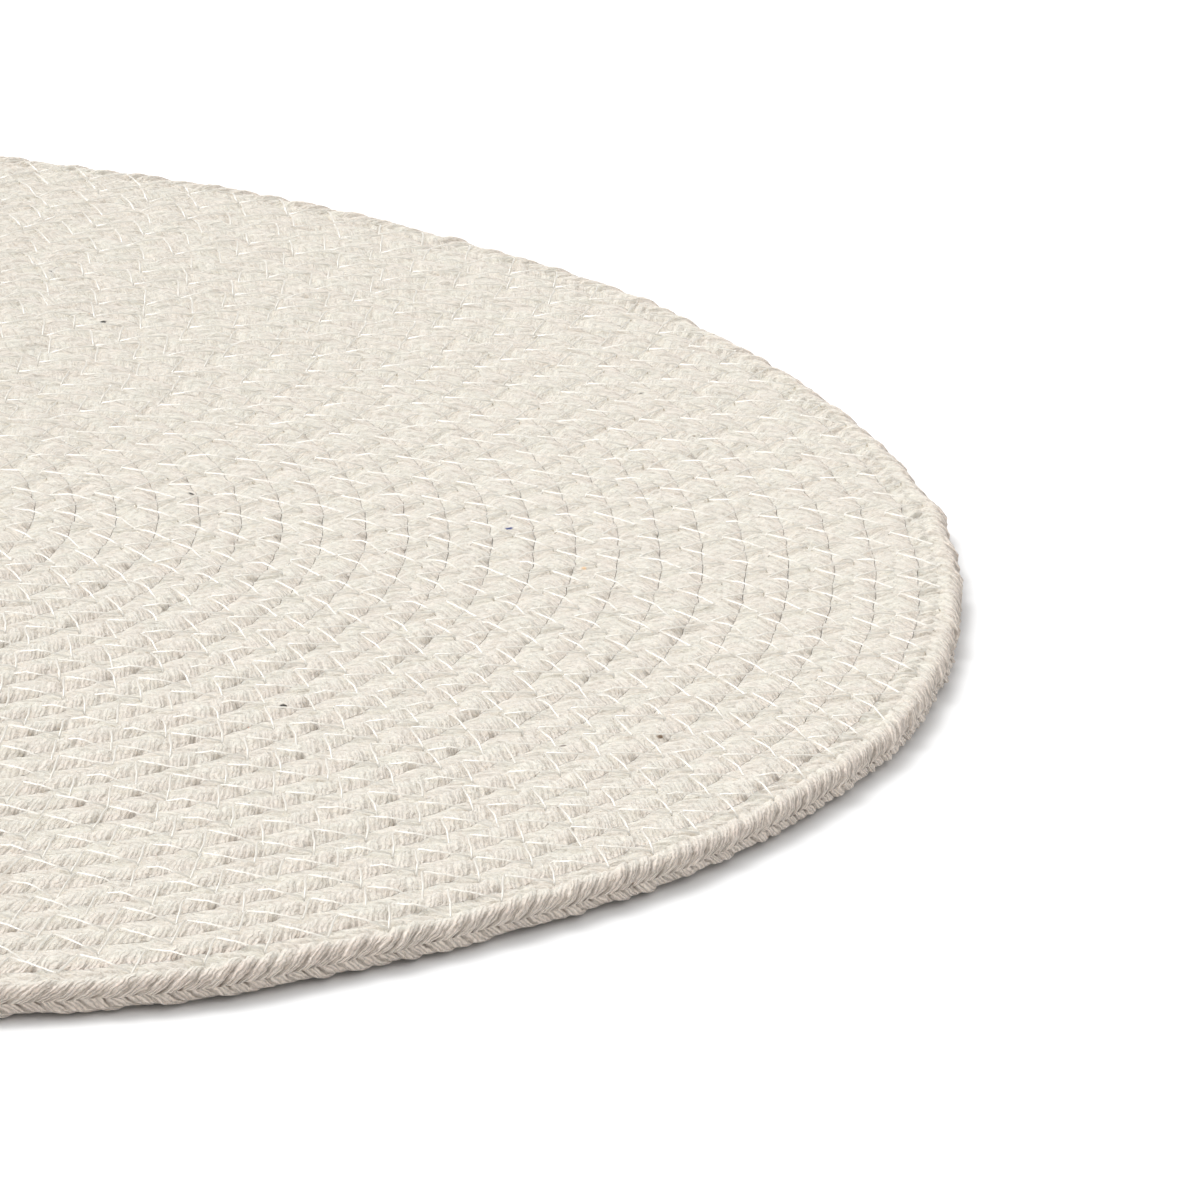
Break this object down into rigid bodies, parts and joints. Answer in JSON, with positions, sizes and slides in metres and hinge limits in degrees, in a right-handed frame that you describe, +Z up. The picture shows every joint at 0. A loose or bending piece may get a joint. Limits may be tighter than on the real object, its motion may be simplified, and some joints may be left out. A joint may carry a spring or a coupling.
{
  "type": "round braided placemat",
  "caption": "Round ecru cotton placemat: a braided cord wound flat into a ribbed disc and sewn turn to turn.",
  "frame": {"origin": "middle of the mat's flat underside, below the middle of its box", "axes": "+Z up, through the mat's thickness; +X and +Y lie in its plane, with the cord's tapered tail near -X"},
  "size_m": [0.3776, 0.3796, 0.005],
  "materials": {
    "cotton": "matt undyed cotton"
  },
  "bodies": {
    "root": {"coiled_mat": "cotton"}
  },
  "joints": []
}
